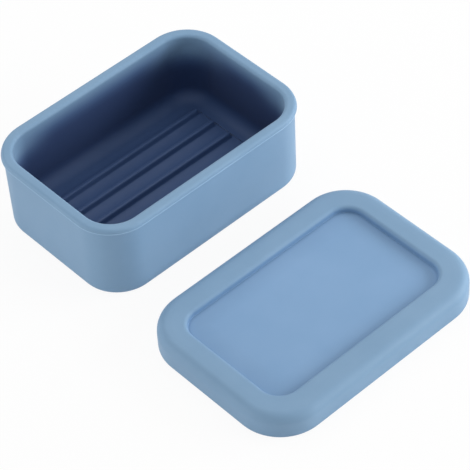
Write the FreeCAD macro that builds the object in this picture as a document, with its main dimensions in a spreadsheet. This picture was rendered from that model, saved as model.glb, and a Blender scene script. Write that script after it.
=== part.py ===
import FreeCAD, Part
import math
import os
import re

import Sketcher

# Travel soap box of soft silicone: a deep tub with a beaded rim, and a press-on lid that lies in front of it.
# X runs along the tub, Y across it and Z up. The origin is the middle of the face that the tub stands on.

# Driving sizes in millimetres; rib_count is a plain number.
SIZES = {
    # Rim of the tub, which every other outline follows
    "rim_length": 110.0,
    "rim_width": 76.0,
    "rim_corner": 18.0,
    "rim_thickness": 4.9,
    "rim_band": 2.2,
    "rim_overhang": 0.9,
    "rim_outer_round": 1.4,
    "rim_inner_round": 3.0,
    "rim_under_bevel": 0.4,
    # Walls and floor of the tub
    "tub_height": 37.0,
    "floor_thickness": 3.0,
    "base_bevel": 1.6,
    "floor_round": 6.0,
    # Drain ribs on the floor of the tub
    "rib_count": 5,
    "rib_pitch": 10.0,
    "rib_width": 3.2,
    "rib_height": 2.0,
    "rib_end_gap": 2.0,
    "rib_bevel": 0.8,
    # Seat of the lid on the rim
    "seat_clearance": 0.2,
    "skirt_thickness": 1.4,
    "snap_depth": 0.5,
    "skirt_bevel": 0.4,
    "lip_thickness": 2.6,
    "lip_depth": 5.0,
    "lip_bevel": 0.8,
    # Top of the lid
    "lid_height": 11.0,
    "lid_roof": 3.0,
    "lid_round": 4.0,
    "ring_end_width": 11.5,
    "ring_side_width": 12.1,
    "recess_depth": 2.9,
    "recess_corner": 8.6,
    "recess_bevel": 1.5,
    "panel_thickness": 2.2,
    # Place of the lid where it has been laid down
    "lid_gap": 17.2,
    "lid_shift": -2.3,
}

# Heights above the lower edge of the skirt
ROOF_LEVEL = "lid_height - lid_roof"
PANEL_UNDERSIDE = "lid_height - recess_depth - panel_thickness"
SNAP_LEVEL = "lid_height - lid_roof - 2 * seat_clearance - rim_band"
LIP_LEVEL = "lid_height - lid_roof - lip_depth"

TOLERANCE = 1e-4

doc = FreeCAD.newDocument("soap_box")
sheet = doc.addObject("Spreadsheet::Sheet", "Sizes")
for row, (name, number) in enumerate(SIZES.items(), start=1):
    sheet.set(f"A{row}", name)
    sheet.set(f"B{row}", str(number))
    sheet.setAlias(f"B{row}", name)
doc.recompute()


def bind(target, prop, formula):
    """Bind a property to a formula over the sheet's sizes, whose names all have an underscore."""
    target.setExpression(prop, re.sub(r"\b([a-z]+(?:_[a-z]+)+)\b", r"Sizes.\1", formula))


def rim_outline(inset="0"):
    """Length, width and corner radius of the rim's outline, moved inwards by a formula."""
    return f"rim_length - 2 * ({inset})", f"rim_width - 2 * ({inset})", f"rim_corner - ({inset})"


def new_body(label):
    body = doc.addObject("PartDesign::Body", label)
    body.Label = label
    return body


def new_sketch(body, name, height="0"):
    """A level sketch on the body's ground plane, raised by a formula."""
    ground = next(feature for feature in body.Origin.OriginFeatures if feature.Role == "XY_Plane")
    sketch = body.newObject("Sketcher::SketchObject", name)
    sketch.AttachmentSupport = [(ground, "")]
    sketch.MapMode = "FlatFace"
    bind(sketch, "AttachmentOffset.Base.z", height)
    return sketch


def dimension(sketch, name, kind, places, start, formula):
    """A named driving dimension, drawn at a start value and bound to a formula."""
    index = sketch.addConstraint(Sketcher.Constraint(kind, *places, start))
    sketch.renameConstraint(index, name)
    bind(sketch, f"Constraints.{name}", formula)


def add_rounded_rectangle(sketch, name, outline):
    """A centred rectangle with round corners, drawn at the rim's size and then set to its own."""
    length, width, corner = outline
    radius = sheet.get("rim_corner")
    across = sheet.get("rim_length") / 2 - radius
    deep = sheet.get("rim_width") / 2 - radius
    centres = ((across, deep), (-across, deep), (-across, -deep), (across, -deep))
    arcs = []
    for quarter, (x, y) in enumerate(centres):
        circle = Part.Circle(FreeCAD.Vector(x, y, 0), FreeCAD.Vector(0, 0, 1), radius)
        start = quarter * math.pi / 2
        arcs.append(sketch.addGeometry(Part.ArcOfCircle(circle, start, start + math.pi / 2)))
    sides = []
    for quarter, arc in enumerate(arcs):
        following = arcs[(quarter + 1) % len(arcs)]
        line = Part.LineSegment(sketch.getPoint(arc, 2), sketch.getPoint(following, 1))
        side = sketch.addGeometry(line)
        sides.append(side)
        sketch.addConstraint(Sketcher.Constraint("Tangent", arc, 2, side, 1))
        sketch.addConstraint(Sketcher.Constraint("Tangent", side, 2, following, 1))
        direction = "Horizontal" if quarter % 2 == 0 else "Vertical"
        sketch.addConstraint(Sketcher.Constraint(direction, side))
    for arc in arcs[1:]:
        sketch.addConstraint(Sketcher.Constraint("Equal", arcs[0], arc))
    sketch.addConstraint(Sketcher.Constraint("Symmetric", arcs[0], 3, arcs[2], 3, -1, 1))
    back, left, front, right = sides
    dimension(sketch, f"{name}_length", "DistanceX", (left, 1, right, 1), 2 * (across + radius), length)
    dimension(sketch, f"{name}_width", "DistanceY", (front, 1, back, 1), 2 * (deep + radius), width)
    dimension(sketch, f"{name}_corner", "Radius", (arcs[0],), radius, corner)


def add_bar(sketch, name, length, width, offset):
    """A rectangle along X, centred on the Y axis, its front side set off from the X axis by a formula."""
    reach = sheet.get("rim_length") / 2 - sheet.get("rim_corner")
    far = -sheet.get("rib_pitch")
    near = far - sheet.get("rib_width")
    places = ((-reach, near), (reach, near), (reach, far), (-reach, far))
    corners = [FreeCAD.Vector(x, y, 0) for x, y in places]
    sides = []
    for start, end in zip(corners, corners[1:] + corners[:1]):
        sides.append(sketch.addGeometry(Part.LineSegment(start, end)))
    for side, following in zip(sides, sides[1:] + sides[:1]):
        sketch.addConstraint(Sketcher.Constraint("Coincident", side, 2, following, 1))
    front, right, back, left = sides
    sketch.addConstraint(Sketcher.Constraint("Symmetric", front, 1, front, 2, -2))
    sketch.addConstraint(Sketcher.Constraint("Horizontal", back))
    sketch.addConstraint(Sketcher.Constraint("Vertical", left))
    sketch.addConstraint(Sketcher.Constraint("Vertical", right))
    dimension(sketch, f"{name}_length", "DistanceX", (front, 1, front, 2), 2 * reach, length)
    dimension(sketch, f"{name}_width", "DistanceY", (right, 1, right, 2), far - near, width)
    dimension(sketch, f"{name}_offset", "DistanceY", (front, 1, -1, 1), -near, offset)


def volume_of(body):
    """The body's volume so far, or zero before its first feature."""
    return 0 if body.Shape.isNull() else body.Shape.Volume


def finish_feature(body, feature, before):
    """Recompute and make sure that the feature has changed the body's volume."""
    doc.recompute()
    if abs(feature.Shape.Volume - before) < TOLERANCE:
        raise RuntimeError(f"{feature.Label} changes nothing in {body.Label}")
    return feature


def pad(body, name, sketch, length):
    before = volume_of(body)
    feature = body.newObject("PartDesign::Pad", name)
    feature.Profile = sketch
    bind(feature, "Length", length)
    return finish_feature(body, feature, before)


def pocket(body, name, sketch, depth, upwards=False):
    before = volume_of(body)
    feature = body.newObject("PartDesign::Pocket", name)
    feature.Profile = sketch
    feature.Reversed = upwards
    bind(feature, "Length", depth)
    return finish_feature(body, feature, before)


def level_loops(feature, height):
    """The closed loops of edges that lie level at a height, from the innermost to the outermost."""
    def is_level(edge):
        return all(abs(vertex.Z - height) < TOLERANCE for vertex in edge.Vertexes)
    level = [edge for edge in feature.Shape.Edges if is_level(edge)]
    loops = [Part.Wire(chain) for chain in Part.sortEdges(level)]
    return sorted(loops, key=lambda loop: loop.BoundBox.DiagonalLength)


def dress_loops(body, name, kind, feature, loops, measure, size):
    """Put a fillet or a chamfer on all the edges of some loops of a feature."""
    before = volume_of(body)
    edges = [edge for loop in loops for edge in loop.Edges]
    names = [
        f"Edge{number}"
        for number, edge in enumerate(feature.Shape.Edges, start=1)
        if any(edge.isSame(other) for other in edges)
    ]
    dressing = body.newObject(kind, name)
    dressing.Base = (feature, names)
    bind(dressing, measure, size)
    return finish_feature(body, dressing, before)


def round_loops(body, name, feature, loops, radius):
    return dress_loops(body, name, "PartDesign::Fillet", feature, loops, "Radius", radius)


def bevel_loops(body, name, feature, loops, size):
    return dress_loops(body, name, "PartDesign::Chamfer", feature, loops, "Size", size)


def make_tub():
    """The tub: upright walls, a rounded rim that stands out past them, and drain ribs on the floor."""
    body = new_body("tub")
    rim_underside = sheet.get("tub_height") - sheet.get("rim_band")

    foot = new_sketch(body, "tub_foot")
    add_rounded_rectangle(foot, "foot", rim_outline("rim_overhang"))
    pad(body, "tub_walls", foot, "tub_height")

    rim = new_sketch(body, "tub_rim", "tub_height - rim_band")
    add_rounded_rectangle(rim, "rim", rim_outline())
    pad(body, "tub_rim_band", rim, "rim_band")

    mouth = new_sketch(body, "tub_mouth", "tub_height")
    add_rounded_rectangle(mouth, "mouth", rim_outline("rim_thickness"))
    inside = pocket(body, "tub_inside", mouth, "tub_height - floor_thickness")

    floor_edge = level_loops(inside, sheet.get("floor_thickness"))
    bowl = round_loops(body, "floor_rounding", inside, floor_edge, "floor_round")
    mouth_edge = level_loops(bowl, sheet.get("tub_height"))[:1]
    soft_mouth = round_loops(body, "mouth_rounding", bowl, mouth_edge, "rim_inner_round")
    rim_edge = level_loops(soft_mouth, sheet.get("tub_height"))[-1:]
    soft_rim = round_loops(body, "rim_rounding", soft_mouth, rim_edge, "rim_outer_round")
    under_edge = level_loops(soft_rim, rim_underside)[-1:]
    soft_band = bevel_loops(body, "rim_under_bevelling", soft_rim, under_edge, "rim_under_bevel")
    bevel_loops(body, "base_bevelling", soft_band, level_loops(soft_band, 0), "base_bevel")

    rib = new_sketch(body, "drain_rib", "floor_thickness")
    rib_length = "rim_length - 2 * (rim_thickness + floor_round + rib_end_gap)"
    add_bar(rib, "rib", rib_length, "rib_width", "((rib_count - 1) * rib_pitch + rib_width) / 2")
    first_rib = pad(body, "first_rib", rib, "rib_height")
    ribs = body.newObject("PartDesign::LinearPattern", "drain_ribs")
    ribs.Originals = [first_rib]
    ribs.Direction = (rib, ["V_Axis"])
    bind(ribs, "Length", "(rib_count - 1) * rib_pitch")
    bind(ribs, "Occurrences", "rib_count")
    body.Tip = ribs
    finish_feature(body, ribs, first_rib.Shape.Volume)
    rib_top = sheet.get("floor_thickness") + sheet.get("rib_height")
    bevel_loops(body, "rib_bevelling", ribs, level_loops(ribs, rib_top), "rib_bevel")
    return body


def make_lid():
    """The lid: a broad raised ring round a sunken panel, with a groove under the ring that takes the rim."""
    body = new_body("lid")
    outer = rim_outline("-seat_clearance - skirt_thickness")

    crown = new_sketch(body, "lid_crown")
    add_rounded_rectangle(crown, "crown", outer)
    pad(body, "lid_block", crown, "lid_height")

    hollow = new_sketch(body, "lid_hollow")
    add_rounded_rectangle(hollow, "hollow", rim_outline("snap_depth - seat_clearance"))
    pocket(body, "lid_underside", hollow, PANEL_UNDERSIDE, upwards=True)

    groove = new_sketch(body, "rim_groove", SNAP_LEVEL)
    add_rounded_rectangle(groove, "groove_outer", rim_outline("-seat_clearance"))
    add_rounded_rectangle(groove, "groove_inner", rim_outline("rim_thickness + seat_clearance"))
    pocket(body, "bead_groove", groove, f"{ROOF_LEVEL} - ({SNAP_LEVEL})", upwards=True)

    lip = new_sketch(body, "lip_ring", LIP_LEVEL)
    add_rounded_rectangle(lip, "lip_outer", rim_outline("rim_thickness + seat_clearance"))
    add_rounded_rectangle(lip, "lip_inner", rim_outline("rim_thickness + seat_clearance + lip_thickness"))
    pad(body, "sealing_lip", lip, f"{PANEL_UNDERSIDE} - ({LIP_LEVEL})")

    recess = new_sketch(body, "lid_recess", "lid_height")
    length, _, _ = rim_outline("ring_end_width - seat_clearance - skirt_thickness")
    _, width, _ = rim_outline("ring_side_width - seat_clearance - skirt_thickness")
    add_rounded_rectangle(recess, "recess", (length, width, "recess_corner"))
    sunk = pocket(body, "sunken_panel", recess, "recess_depth")

    top = sheet.get("lid_height")
    crown_edge = level_loops(sunk, top)[-1:]
    crowned = round_loops(body, "crown_rounding", sunk, crown_edge, "lid_round")
    recess_edge = level_loops(crowned, top)[:1]
    softened = bevel_loops(body, "recess_bevelling", crowned, recess_edge, "recess_bevel")
    skirted = bevel_loops(body, "skirt_bevelling", softened, level_loops(softened, 0), "skirt_bevel")
    lip_edges = level_loops(skirted, top - sheet.get("lid_roof") - sheet.get("lip_depth"))
    bevel_loops(body, "lip_bevelling", skirted, lip_edges, "lip_bevel")

    bind(body, "Placement.Base.x", "lid_shift")
    bind(body, "Placement.Base.y", "-(rim_width + seat_clearance + skirt_thickness + lid_gap)")
    doc.recompute()
    return body


def check_document(bodies):
    """Stop on any failed feature or unsound solid before anything is written."""
    for item in doc.Objects:
        if "Invalid" in item.State or "Error" in item.State:
            raise RuntimeError(f"{item.Label} failed: {item.State}")
    for body in bodies:
        if body.Shape.isNull() or not body.Shape.isValid() or len(body.Shape.Solids) != 1:
            raise RuntimeError(f"{body.Label} is not one sound solid")


bodies = [make_tub(), make_lid()]
check_document(bodies)
os.makedirs("parts", exist_ok=True)
for body in bodies:
    body.Shape.exportStep(f"parts/{body.Label}.step")
    print(f"{body.Label}: {body.Shape.Volume:.0f} mm3")
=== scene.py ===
import math

import bpy
from mathutils import Matrix, Vector


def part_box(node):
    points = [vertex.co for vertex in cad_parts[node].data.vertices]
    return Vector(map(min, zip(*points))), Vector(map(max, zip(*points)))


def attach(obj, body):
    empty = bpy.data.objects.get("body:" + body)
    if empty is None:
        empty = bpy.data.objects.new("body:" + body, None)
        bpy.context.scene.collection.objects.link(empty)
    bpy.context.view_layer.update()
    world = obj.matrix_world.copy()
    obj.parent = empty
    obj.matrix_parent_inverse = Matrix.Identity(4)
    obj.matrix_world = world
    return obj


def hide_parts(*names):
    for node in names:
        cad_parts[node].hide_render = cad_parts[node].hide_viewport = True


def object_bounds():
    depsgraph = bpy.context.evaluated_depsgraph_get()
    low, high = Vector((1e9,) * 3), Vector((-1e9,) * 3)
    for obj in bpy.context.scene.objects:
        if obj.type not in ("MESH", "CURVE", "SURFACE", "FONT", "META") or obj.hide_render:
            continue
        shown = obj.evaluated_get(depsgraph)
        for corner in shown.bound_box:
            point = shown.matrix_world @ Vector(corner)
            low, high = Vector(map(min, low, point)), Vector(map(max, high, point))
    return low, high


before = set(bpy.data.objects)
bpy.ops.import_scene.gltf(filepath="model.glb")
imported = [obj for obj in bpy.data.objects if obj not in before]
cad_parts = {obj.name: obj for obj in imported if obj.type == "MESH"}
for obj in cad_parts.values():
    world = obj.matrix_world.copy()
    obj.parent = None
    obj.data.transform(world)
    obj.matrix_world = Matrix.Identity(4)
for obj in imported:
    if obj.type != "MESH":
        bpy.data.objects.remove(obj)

# Travel soap box of soft silicone: each moulding is one closed skin, swept from a rounded profile
cad_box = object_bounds()
MM = 0.001
QUARTER_TURN = math.pi / 2
CORNER_SIGNS = ((-1, -1), (1, -1), (1, 1), (-1, 1))

# Tub, in millimetres: the profile's insets are measured from the outline of the rim
RIM_CORNER = 18.0
RIM_THICKNESS = 4.9
RIM_BAND = 2.2
RIM_OVERHANG = 0.9
RIM_OUTER_ROUND = 1.4
RIM_INNER_ROUND = 1.5
RIM_NOTCH_ROUND = 0.35
PARTING_HEIGHT = 0.55
PARTING_DEPTH = 0.18
PARTING_ROUND = 0.2
WALL_DRAFT = 0.3
BASE_ROUND = 2.3
BASE_MARGIN = 4.6
FLOOR_THICKNESS = 3.0
FLOOR_ROUND = 6.0
FLOOR_MARGIN = 7.8

# Drain ribs on the floor of the tub, in millimetres
RIB_COUNT = 5
RIB_PITCH = 10.0
RIB_LENGTH = 84.6
RIB_HEIGHT = 2.0
RIB_CROWN_HALF = 0.6
RIB_FOOT_HALF = 1.9
RIB_END_STRETCH = 5.7

# Lid, in millimetres: the profile's insets are measured from the outline of the lid
LID_CORNER = 19.6
RIM_INSET = 1.6
SEAT_CLEARANCE = 0.2
GROOVE_ROUND = 0.5
SNAP_DEPTH = 0.5
SNAP_LEVEL = 5.4
SNAP_ROUND = 0.2
SKIRT_INNER_ROUND = 0.5
SKIRT_OUTER_ROUND = 0.6
LIP_THICKNESS = 2.6
LIP_LEVEL = 3.0
LIP_ROUND = 0.7
LIP_ROOT_ROUND = 1.2
LIP_MARGIN = 3.0
ROOF_LEVEL = 8.0
PANEL_UNDERSIDE = 5.9
PANEL_MARGIN = 12.0
CROWN_ROUND = 4.0
CROWN_DROP = 0.15
CROWN_TOP_ROUND = 8.0
RING_WIDTH = 11.65
RING_EXTRA = 0.3
RECESS_SLOPE = 0.15
RECESS_DEPTH = 2.9
RECESS_CORNER = 8.6
RECESS_ROUND = 1.7
CREASE_ROUND = 0.25

# Mesh density
HALF_CORNER_STEPS = 10
LONG_SIDE_STEPS = 44
ARC_STEPS = 7
RIB_STEPS = 6
CREASE_STEPS = 4
SUPPORT_SHARE = 0.25
SUPPORT_ROOM_SHARE = 1 / 3
LONGEST_STEP = 2.5

# Tints that multiply the silicone's colour, mostly painted shade and painted highlights, and their reach in
# millimetres
PLAIN_TINT = (1.0, 1.0, 1.0)
# Painted highlight: a paler line along the parting edge under the rim, where the bead's rounding catches
# the light
PARTING_HIGHLIGHT_TINT = (1.5, 1.4, 1.3)
# Painted shade down the inside of the tub, and the depth over which it deepens; in the corners it starts
# lower, so they are painted lighter
INSIDE_SHADE_TINT = (0.1, 0.13, 0.25)
INSIDE_SHADE_END = 13.0
CORNER_LIT_DEPTH = 7.0
CORNER_FADE = 16.0
# Painted shade on the tub's floor and ribs, a little lighter than the deepest walls
TUB_FLOOR_SHADE_TINT = (0.16, 0.21, 0.36)
# The lid's panel is painted a little lighter and bluer, as light through its thin web, and darker along its
# border as painted shade
PANEL_THROUGH_LIGHT_TINT = (1.03, 1.06, 1.14)
PANEL_EDGE_SHADE_TINT = (0.95, 0.98, 1.06)
# Painted shade in the crease round the lid's panel, full at this depth and fading over this reach onto the
# panel
CREASE_SHADE_TINT = (0.74, 0.81, 0.9)
CREASE_FULL_DEPTH = 1.9
CREASE_REACH = 1.2

# Silicone: two blues that cloud into each other, and the range of its roughness
CLOUD_COLOURS = ((0.196, 0.335, 0.500, 1), (0.216, 0.358, 0.526, 1))
CLOUD_SPAN = (0.3, 0.7)
ROUGHNESS_SPAN = (0.5, 0.64)

# Studio, in metres
STAGE_REACH = 4.0
STAGE_LEVEL = -0.00002
STAGE_COLOUR = (0.95, 0.95, 0.95, 1)
STAGE_WHITE_SHARE = 0.92
WHITE = (1, 1, 1, 1)
WORLD_LIGHT = 0.45

# Camera, in degrees and millimetres: it stands back from the point that it aims at
CAMERA_AZIMUTH = -130.319
CAMERA_ELEVATION = 46.305
CAMERA_ROLL = -3.768
CAMERA_AIM = Vector((14.255, -31.138, -13.871))
CAMERA_DISTANCE = 934.08
CAMERA_SENSOR = 36.0
CAMERA_LENS = 175.145


def node_place(node):
    """Size of a CAD node at rest and the middle of its lowest face, in millimetres."""
    low, high = (Vector(corner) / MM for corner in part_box(node))
    return high - low, Vector(((low.x + high.x) / 2, (low.y + high.y) / 2, low.z))


def smooth_step(low, high, number):
    """A share that rises from 0 at the low end to 1 at the high end, level at both."""
    share = min(max((number - low) / (high - low), 0), 1)
    return share * share * (3 - 2 * share)


def spread(half, steps):
    """Evenly spaced places from minus half to plus half."""
    return [half * (2 * step / steps - 1) for step in range(steps + 1)]


def direction(azimuth, elevation):
    """Unit vector at one angle from +X towards +Y and another above the level, in degrees."""
    azimuth = math.radians(azimuth)
    elevation = math.radians(elevation)
    level = math.cos(elevation)
    return Vector((level * math.cos(azimuth), level * math.sin(azimuth), math.sin(elevation)))


def rounded_profile(corners):
    """Points along a line of (inset, height, radius) corners, with support points beside each rounding."""
    places = [Vector(corner[:2]) for corner in corners]
    points = [places[0]]
    leaving = places[0]
    last_support = 0
    for before, place, after, corner in zip(places, places[1:], places[2:], corners[1:]):
        radius = corner[2]
        backwards = (before - place).normalized()
        onwards = (after - place).normalized()
        half_angle = backwards.angle(onwards) / 2
        centre = place + (backwards + onwards).normalized() * radius / math.sin(half_angle)
        start = place + backwards * radius / math.tan(half_angle)
        end = place + onwards * radius / math.tan(half_angle)
        room = (start - leaving).length * SUPPORT_ROOM_SHARE
        if last_support:
            points.append(leaving - backwards * min(last_support, room))
        support = SUPPORT_SHARE * radius
        points.append(start + backwards * min(support, room))
        for step in range(ARC_STEPS + 1):
            points.append(centre + radius * (start - centre).slerp(end - centre, step / ARC_STEPS))
        leaving = end
        last_support = support
    points.append(leaving + onwards * last_support)
    points.append(places[-1])
    return with_long_runs_divided(points)


def with_long_runs_divided(points):
    """The same line, with points added where two neighbours are far apart."""
    divided = [points[0]]
    for start, end in zip(points, points[1:]):
        steps = math.ceil((end - start).length / LONGEST_STEP)
        divided.extend(start.lerp(end, step / steps) for step in range(1, steps))
        divided.append(end)
    return divided


def blend_tints(first, second, share):
    return tuple(a + (b - a) * share for a, b in zip(first, second))


def deepen(tint, share):
    """Part of a tint, with its colours kept strong on the way to it."""
    return tuple(channel ** share for channel in tint)


def steps_along(side, short_side_steps):
    """Steps of the straight stretch of a side: 0 and 2 are the long sides, 1 and 3 the short ones."""
    return short_side_steps if side % 2 else LONG_SIDE_STEPS


def level_arm(length, angle):
    """A level vector of a given length, at an angle from +X."""
    return length * Vector((math.cos(angle), math.sin(angle)))


def outline_ring(length, width, corner, height, short_side_steps):
    """Points round a rectangle with round corners, counterclockwise from the middle of the first corner."""
    across = length / 2 - corner
    deep = width / 2 - corner
    centres = [Vector((x * across, y * deep)) for x, y in CORNER_SIGNS]
    points = []
    for side, first in enumerate(centres):
        second = centres[(side + 1) % len(centres)]
        steps = steps_along(side, short_side_steps)
        facing = QUARTER_TURN * (side - 1)
        for step in range(HALF_CORNER_STEPS):
            angle = facing - QUARTER_TURN / 2 * (1 - step / HALF_CORNER_STEPS)
            points.append(first + level_arm(corner, angle))
        for step in range(steps):
            points.append(first.lerp(second, step / steps) + level_arm(corner, facing))
        for step in range(HALF_CORNER_STEPS):
            angle = facing + QUARTER_TURN / 2 * step / HALF_CORNER_STEPS
            points.append(second + level_arm(corner, angle))
    return [Vector((point.x, point.y, height)) for point in points]


def corner_shares(length, width, corner, short_side_steps):
    """How much each point of such a ring belongs to a corner: all in its middle, none far along a side."""
    shares = []
    for side in range(len(CORNER_SIGNS)):
        steps = steps_along(side, short_side_steps)
        straight = (width if side % 2 else length) - 2 * corner
        shares.extend(1 - step / HALF_CORNER_STEPS / 2 for step in range(HALF_CORNER_STEPS))
        for step in range(steps):
            away = straight * min(step, steps - step) / steps
            shares.append(max(1 - away / CORNER_FADE, 0) / 2)
        shares.extend((1 + step / HALF_CORNER_STEPS) / 2 for step in range(HALF_CORNER_STEPS))
    return [smooth_step(0, 1, share) for share in shares]


class Skin:
    """A closed skin of quads: a lower sheet, the rings of a profile and an upper sheet."""

    def __init__(self, short_side_steps):
        self.short_side_steps = short_side_steps
        self.points = []
        self.tints = []
        self.faces = []
        self.last_ring = None

    def add_points(self, points, tints):
        first = len(self.points)
        self.points.extend(points)
        self.tints.extend(tints)
        return list(range(first, len(self.points)))

    def join_ring(self, ring):
        """Quads from the last ring to this one."""
        below = self.last_ring
        if below:
            for index in range(len(ring)):
                following = (index + 1) % len(ring)
                self.faces.append((below[index], below[following], ring[following], ring[index]))
        self.last_ring = ring

    def add_ring(self, length, width, corner, height, side_tint, corner_tint):
        ring = outline_ring(length, width, corner, height, self.short_side_steps)
        shares = corner_shares(length, width, corner, self.short_side_steps)
        tints = [blend_tints(side_tint, corner_tint, share) for share in shares]
        self.join_ring(self.add_points(ring, tints))

    def add_sheet(self, columns, rows, height_at, upwards, tint):
        """A grid whose border is joined to the rings."""
        grid = []
        for y in rows:
            points = [Vector((x, y, height_at(x, y))) for x in columns]
            grid.append(self.add_points(points, [tint] * len(points)))
        front = grid[0][:-1]
        right = [row[-1] for row in grid[:-1]]
        back = grid[-1][:0:-1]
        left = [row[0] for row in grid[:0:-1]]
        border = front + right + back + left
        if upwards:
            self.join_ring(border)
        else:
            self.last_ring = border
        for lower, upper in zip(grid, grid[1:]):
            for column in range(len(columns) - 1):
                face = (lower[column], lower[column + 1], upper[column + 1], upper[column])
                self.faces.append(face if upwards else face[::-1])

    def make_object(self, name, place, material):
        """One object, with the tints as a colour attribute of its mesh."""
        mesh = bpy.data.meshes.new(name)
        mesh.from_pydata([(point + place) * MM for point in self.points], [], self.faces)
        mesh.polygons.foreach_set("use_smooth", [True] * len(mesh.polygons))
        mesh.materials.append(material)
        tints = mesh.color_attributes.new("tint", "FLOAT_COLOR", "POINT")
        tints.data.foreach_set("color", [number for tint in self.tints for number in (*tint, 1)])
        piece = bpy.data.objects.new(name, mesh)
        bpy.context.scene.collection.objects.link(piece)
        return piece


def rib_places():
    """Places of the ribs' middles across the floor."""
    return [RIB_PITCH * (index - (RIB_COUNT - 1) / 2) for index in range(RIB_COUNT)]


def floor_height(x, y):
    """Height of the tub's floor, with ribs that are round at their ends and flare into the floor."""
    past_end = max(abs(x) - (RIB_LENGTH / 2 - RIB_FOOT_HALF), 0)
    away = min(math.hypot(past_end, y - place) for place in rib_places())
    return FLOOR_THICKNESS + RIB_HEIGHT * (1 - smooth_step(RIB_CROWN_HALF, RIB_FOOT_HALF, away))


def rib_rows():
    """Places across the floor, close together where a rib rises."""
    flank = RIB_FOOT_HALF - RIB_CROWN_HALF
    offsets = [RIB_CROWN_HALF + flank * step / RIB_STEPS for step in range(RIB_STEPS + 1)]
    rows = []
    for place in rib_places():
        rows.extend(place - offset for offset in reversed(offsets))
        rows.append(place)
        rows.extend(place + offset for offset in offsets)
    return rows


def rib_columns(steps):
    """Places along the floor, close together at the ends of the ribs."""
    end = RIB_LENGTH / 2
    close = [end - RIB_FOOT_HALF + RIB_FOOT_HALF * step / RIB_STEPS for step in range(RIB_STEPS + 1)]
    middle = spread(end - RIB_END_STRETCH, steps - 2 * len(close))
    return [-place for place in reversed(close)] + middle + close


def make_tub(material):
    """The deep box: its base, up the wall, over the rim, down the inside and along the ribbed floor."""
    (length, width, height), foot = node_place("tub")
    base_inset = RIM_OVERHANG + WALL_DRAFT
    base_corner = RIM_CORNER - base_inset
    parting_level = height - RIM_BAND
    parting_top = parting_level + PARTING_HEIGHT
    rows = rib_rows()
    long_steps = LONG_SIDE_STEPS + 2 * HALF_CORNER_STEPS
    short_steps = len(rows) - 1
    skin = Skin(short_steps - 2 * HALF_CORNER_STEPS)

    def tint_at(inset, level, lit_depth):
        """Painted shade deepening down the inside and over the floor, and a painted highlight: a paler line
        along the parting edge under the rim.
        """
        if level < FLOOR_THICKNESS / 2:
            return PLAIN_TINT
        # Painted shade inside the tub, darker with depth and darkest on the floor
        if inset > RIM_THICKNESS - RIM_INNER_ROUND:
            deep = deepen(INSIDE_SHADE_TINT, smooth_step(lit_depth, lit_depth + INSIDE_SHADE_END, height - level))
            floor_shade_share = smooth_step(FLOOR_THICKNESS + FLOOR_ROUND, FLOOR_THICKNESS, level)
            return blend_tints(deep, TUB_FLOOR_SHADE_TINT, floor_shade_share)
        # Painted highlight along the parting edge under the rim
        if inset < PARTING_DEPTH / 2 and parting_level < level < parting_top:
            return PARTING_HIGHLIGHT_TINT
        return PLAIN_TINT

    skin.add_sheet(
        spread(length / 2 - base_corner, long_steps),
        spread(width / 2 - base_corner, short_steps),
        lambda x, y: 0,
        upwards=False,
        tint=PLAIN_TINT,
    )
    profile = rounded_profile([
        (base_inset + BASE_MARGIN, 0),
        (base_inset, 0, BASE_ROUND),
        (RIM_OVERHANG, parting_level, RIM_NOTCH_ROUND),
        (0, parting_level, PARTING_ROUND),
        (0, parting_top, PARTING_ROUND),
        (PARTING_DEPTH, parting_top + PARTING_DEPTH, PARTING_ROUND),
        (PARTING_DEPTH, height, RIM_OUTER_ROUND),
        (RIM_THICKNESS, height, RIM_INNER_ROUND),
        (RIM_THICKNESS, FLOOR_THICKNESS, FLOOR_ROUND),
        (RIM_THICKNESS + FLOOR_MARGIN, FLOOR_THICKNESS),
    ])
    for inset, level in profile:
        skin.add_ring(
            length - 2 * inset,
            width - 2 * inset,
            RIM_CORNER - inset,
            level,
            # The corners take the painted shade from lower down, so they are painted lighter than the sides
            side_tint=tint_at(inset, level, 0),
            corner_tint=tint_at(inset, level, CORNER_LIT_DEPTH),
        )
    # The ribbed floor carries the painted shade of the inside
    skin.add_sheet(rib_columns(long_steps), rows, floor_height, upwards=True, tint=TUB_FLOOR_SHADE_TINT)
    return skin.make_object("tub_moulding", foot, material)


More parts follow.
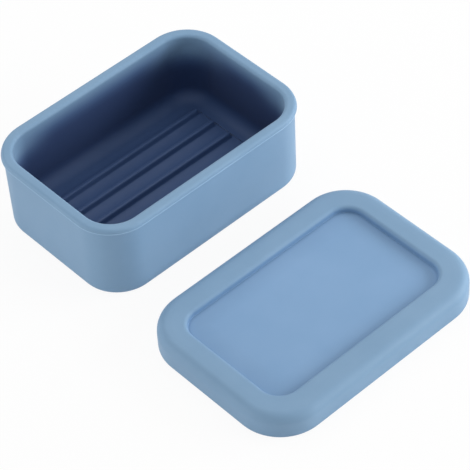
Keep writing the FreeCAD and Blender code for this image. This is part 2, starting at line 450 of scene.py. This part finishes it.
def make_lid(material):
    """The cover: its underside, lip, groove and skirt, then over the ring and down to the panel."""
    (length, width, height), foot = node_place("lid")
    groove_outer = RIM_INSET - SEAT_CLEARANCE
    snap_inner = RIM_INSET + SNAP_DEPTH - SEAT_CLEARANCE
    lip_outer = RIM_INSET + RIM_THICKNESS + SEAT_CLEARANCE
    lip_inner = lip_outer + LIP_THICKNESS
    crease = RING_WIDTH + RECESS_SLOPE
    panel_level = height - RECESS_DEPTH
    sheet_inset = lip_inner + PANEL_MARGIN
    sheet_steps = LONG_SIDE_STEPS + 2 * HALF_CORNER_STEPS
    columns = spread(length / 2 - sheet_inset, sheet_steps)
    rows = spread(width / 2 - sheet_inset, sheet_steps)
    skin = Skin(LONG_SIDE_STEPS)

    def tint_at(inset, level):
        """Painted shade in the crease round the panel and over its border; the panel is painted a little
        bluer than the rest, as light through its thin web.
        """
        if inset < crease:
            return blend_tints(PLAIN_TINT, CREASE_SHADE_TINT, smooth_step(0, CREASE_FULL_DEPTH, height - level))
        return blend_tints(CREASE_SHADE_TINT, PANEL_EDGE_SHADE_TINT, smooth_step(0, CREASE_REACH, inset - crease))

    skin.add_sheet(columns, rows, lambda x, y: PANEL_UNDERSIDE, upwards=False, tint=PLAIN_TINT)
    profile = rounded_profile([
        (lip_inner + LIP_MARGIN, PANEL_UNDERSIDE),
        (lip_inner, PANEL_UNDERSIDE, LIP_ROOT_ROUND),
        (lip_inner, LIP_LEVEL, LIP_ROUND),
        (lip_outer, LIP_LEVEL, LIP_ROUND),
        (lip_outer, ROOF_LEVEL, GROOVE_ROUND),
        (groove_outer, ROOF_LEVEL, GROOVE_ROUND),
        (groove_outer, SNAP_LEVEL, SNAP_ROUND),
        (snap_inner, SNAP_LEVEL, SNAP_ROUND),
        (snap_inner, 0, SKIRT_INNER_ROUND),
        (0, 0, SKIRT_OUTER_ROUND),
        (0, height - CROWN_DROP, CROWN_ROUND),
        (RING_WIDTH / 2, height, CROWN_TOP_ROUND),
        (RING_WIDTH, height - CROWN_DROP, RECESS_ROUND),
        (crease, panel_level, CREASE_ROUND),
        (crease + CREASE_REACH / CREASE_STEPS, panel_level),
    ])
    # More rings across the border of the panel, where its painted shade fades
    for step in range(2, CREASE_STEPS + 1):
        profile.append(Vector((crease + CREASE_REACH * step / CREASE_STEPS, panel_level)))
    for inset, level in profile:
        recess_share = 0
        tint = PLAIN_TINT
        if inset > CROWN_ROUND and level > panel_level - CREASE_ROUND / 2:
            recess_share = smooth_step(CROWN_ROUND, RING_WIDTH, inset)
            tint = tint_at(inset, level)
        end_inset = inset - RING_EXTRA * recess_share
        side_inset = inset + RING_EXTRA * recess_share
        corner = LID_CORNER - inset + (RECESS_CORNER - LID_CORNER + RING_WIDTH) * recess_share
        skin.add_ring(length - 2 * end_inset, width - 2 * side_inset, corner, level, tint, tint)
    # The panel carries its painted tint of light through the thin web
    skin.add_sheet(columns, rows, lambda x, y: panel_level, upwards=True, tint=PANEL_THROUGH_LIGHT_TINT)
    return skin.make_object("lid_moulding", foot, material)


def make_silicone():
    """Matte blue silicone: soft cloudy colour, uneven gloss, a fine moulded grain and a powdery sheen."""
    material = bpy.data.materials.new("silicone")
    material.use_nodes = True
    nodes = material.node_tree.nodes
    links = material.node_tree.links
    shader = nodes["Principled BSDF"]
    coordinates = nodes.new("ShaderNodeTexCoord")

    def noise(scale, detail):
        node = nodes.new("ShaderNodeTexNoise")
        node.inputs["Scale"].default_value = scale
        node.inputs["Detail"].default_value = detail
        links.new(coordinates.outputs["Object"], node.inputs["Vector"])
        return node.outputs["Fac"]

    def bump(height, strength, distance):
        node = nodes.new("ShaderNodeBump")
        node.inputs["Strength"].default_value = strength
        node.inputs["Distance"].default_value = distance
        links.new(height, node.inputs["Height"])
        return node

    clouds = nodes.new("ShaderNodeValToRGB")
    for element, position, colour in zip(clouds.color_ramp.elements, CLOUD_SPAN, CLOUD_COLOURS):
        element.position = position
        element.color = colour
    links.new(noise(scale=45, detail=4), clouds.inputs["Fac"])
    # The mesh's tint attribute multiplies in painted shade and painted light
    tint = nodes.new("ShaderNodeVertexColor")
    tint.layer_name = "tint"
    tinted = nodes.new("ShaderNodeMix")
    tinted.data_type = "RGBA"
    tinted.blend_type = "MULTIPLY"
    share, first, second = (socket for socket in tinted.inputs if socket.enabled)
    share.default_value = 1
    links.new(clouds.outputs["Color"], first)
    links.new(tint.outputs["Color"], second)
    result = next(socket for socket in tinted.outputs if socket.enabled)
    links.new(result, shader.inputs["Base Color"])

    gloss = nodes.new("ShaderNodeMapRange")
    gloss.inputs["To Min"].default_value = ROUGHNESS_SPAN[0]
    gloss.inputs["To Max"].default_value = ROUGHNESS_SPAN[1]
    links.new(noise(scale=160, detail=3), gloss.inputs["Value"])
    links.new(gloss.outputs["Result"], shader.inputs["Roughness"])

    waves = bump(noise(scale=70, detail=2), strength=0.15, distance=0.0004)
    grain = bump(noise(scale=2600, detail=2), strength=0.12, distance=0.00006)
    links.new(waves.outputs["Normal"], grain.inputs["Normal"])
    links.new(grain.outputs["Normal"], shader.inputs["Normal"])

    shader.inputs["Specular IOR Level"].default_value = 0.35
    shader.inputs["Sheen Weight"].default_value = 0.12
    shader.inputs["Sheen Roughness"].default_value = 0.5
    shader.inputs["Sheen Tint"].default_value = (0.8, 0.9, 1.0, 1)
    return material


def seen_directly(nodes, links, share):
    """A share for rays from the camera, by a reflection or through glass too, and zero for the rest."""
    path = nodes.new("ShaderNodeLightPath")
    total = path.outputs["Is Camera Ray"]
    for ray in ("Is Glossy Ray", "Is Transmission Ray"):
        larger = nodes.new("ShaderNodeMath")
        larger.operation = "MAXIMUM"
        links.new(total, larger.inputs[0])
        links.new(path.outputs[ray], larger.inputs[1])
        total = larger.outputs["Value"]
    scaled = nodes.new("ShaderNodeMath")
    scaled.operation = "MULTIPLY"
    links.new(total, scaled.inputs[0])
    scaled.inputs[1].default_value = share
    return scaled.outputs["Value"]


def make_floor():
    """A pale floor that reads as white and keeps a faint shadow."""
    mesh = bpy.data.meshes.new("floor")
    corners = [(x * STAGE_REACH, y * STAGE_REACH, STAGE_LEVEL) for x, y in CORNER_SIGNS]
    mesh.from_pydata(corners, [], [range(len(corners))])
    floor = bpy.data.objects.new("floor", mesh)
    bpy.context.scene.collection.objects.link(floor)
    material = bpy.data.materials.new("floor")
    material.use_nodes = True
    nodes = material.node_tree.nodes
    links = material.node_tree.links
    nodes.clear()
    diffuse = nodes.new("ShaderNodeBsdfDiffuse")
    diffuse.inputs["Color"].default_value = STAGE_COLOUR
    white = nodes.new("ShaderNodeEmission")
    white.inputs["Color"].default_value = WHITE
    white.inputs["Strength"].default_value = 1
    mix = nodes.new("ShaderNodeMixShader")
    links.new(seen_directly(nodes, links, STAGE_WHITE_SHARE), mix.inputs["Fac"])
    links.new(diffuse.outputs["BSDF"], mix.inputs[1])
    links.new(white.outputs["Emission"], mix.inputs[2])
    output = nodes.new("ShaderNodeOutputMaterial")
    links.new(mix.outputs["Shader"], output.inputs["Surface"])
    mesh.materials.append(material)


def make_world():
    """White surroundings that light softly and evenly."""
    world = bpy.data.worlds.new("studio")
    bpy.context.scene.world = world
    world.use_nodes = True
    nodes = world.node_tree.nodes
    links = world.node_tree.links
    nodes.clear()

    def white_background(strength):
        node = nodes.new("ShaderNodeBackground")
        node.inputs["Color"].default_value = WHITE
        node.inputs["Strength"].default_value = strength
        return node.outputs["Background"]

    mix = nodes.new("ShaderNodeMixShader")
    links.new(seen_directly(nodes, links, 1), mix.inputs["Fac"])
    links.new(white_background(WORLD_LIGHT), mix.inputs[1])
    links.new(white_background(1), mix.inputs[2])
    output = nodes.new("ShaderNodeOutputWorld")
    links.new(mix.outputs["Shader"], output.inputs["Surface"])


def make_lamp(name, azimuth, elevation, distance, width, height, energy):
    """A soft box that faces the middle of the object, in degrees, metres and watts."""
    target = (Vector(cad_box[0]) + Vector(cad_box[1])) / 2
    away = direction(azimuth, elevation)
    lamp = bpy.data.lights.new(name, "AREA")
    lamp.shape = "RECTANGLE"
    lamp.size = width
    lamp.size_y = height
    lamp.energy = energy
    holder = bpy.data.objects.new(name, lamp)
    holder.location = target + away * distance
    holder.rotation_euler = away.to_track_quat("Z", "Y").to_euler()
    holder.visible_camera = False
    bpy.context.scene.collection.objects.link(holder)


def make_camera():
    """The photograph's view: turned, raised and rolled about the point that it aims at."""
    back = direction(CAMERA_AZIMUTH, CAMERA_ELEVATION)
    level = direction(CAMERA_AZIMUTH + 90, 0)
    upright = back.cross(level)
    roll = math.radians(CAMERA_ROLL)
    right = level * math.cos(roll) + upright * math.sin(roll)
    up = upright * math.cos(roll) - level * math.sin(roll)
    camera = bpy.data.cameras.new("camera")
    camera.sensor_width = CAMERA_SENSOR
    camera.lens = CAMERA_LENS
    holder = bpy.data.objects.new("camera", camera)
    turn = Matrix((right, up, back)).transposed().to_4x4()
    holder.matrix_world = Matrix.Translation((CAMERA_AIM + back * CAMERA_DISTANCE) * MM) @ turn
    bpy.context.scene.collection.objects.link(holder)
    bpy.context.scene.camera = holder


silicone = make_silicone()
for body, piece in (("tub", make_tub(silicone)), ("lid", make_lid(silicone))):
    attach(piece, body)
    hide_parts(body)

make_floor()
make_world()
make_lamp("lamp_back", azimuth=60, elevation=66, distance=0.5, width=0.5, height=0.5, energy=0.88)
make_lamp("lamp_front_left", azimuth=158, elevation=9, distance=0.9, width=0.7, height=0.25, energy=2.4)
make_lamp("lamp_front_right", azimuth=-40, elevation=18, distance=0.9, width=0.7, height=0.3, energy=6.2)
make_camera()
bpy.context.scene.view_settings.view_transform = "Standard"
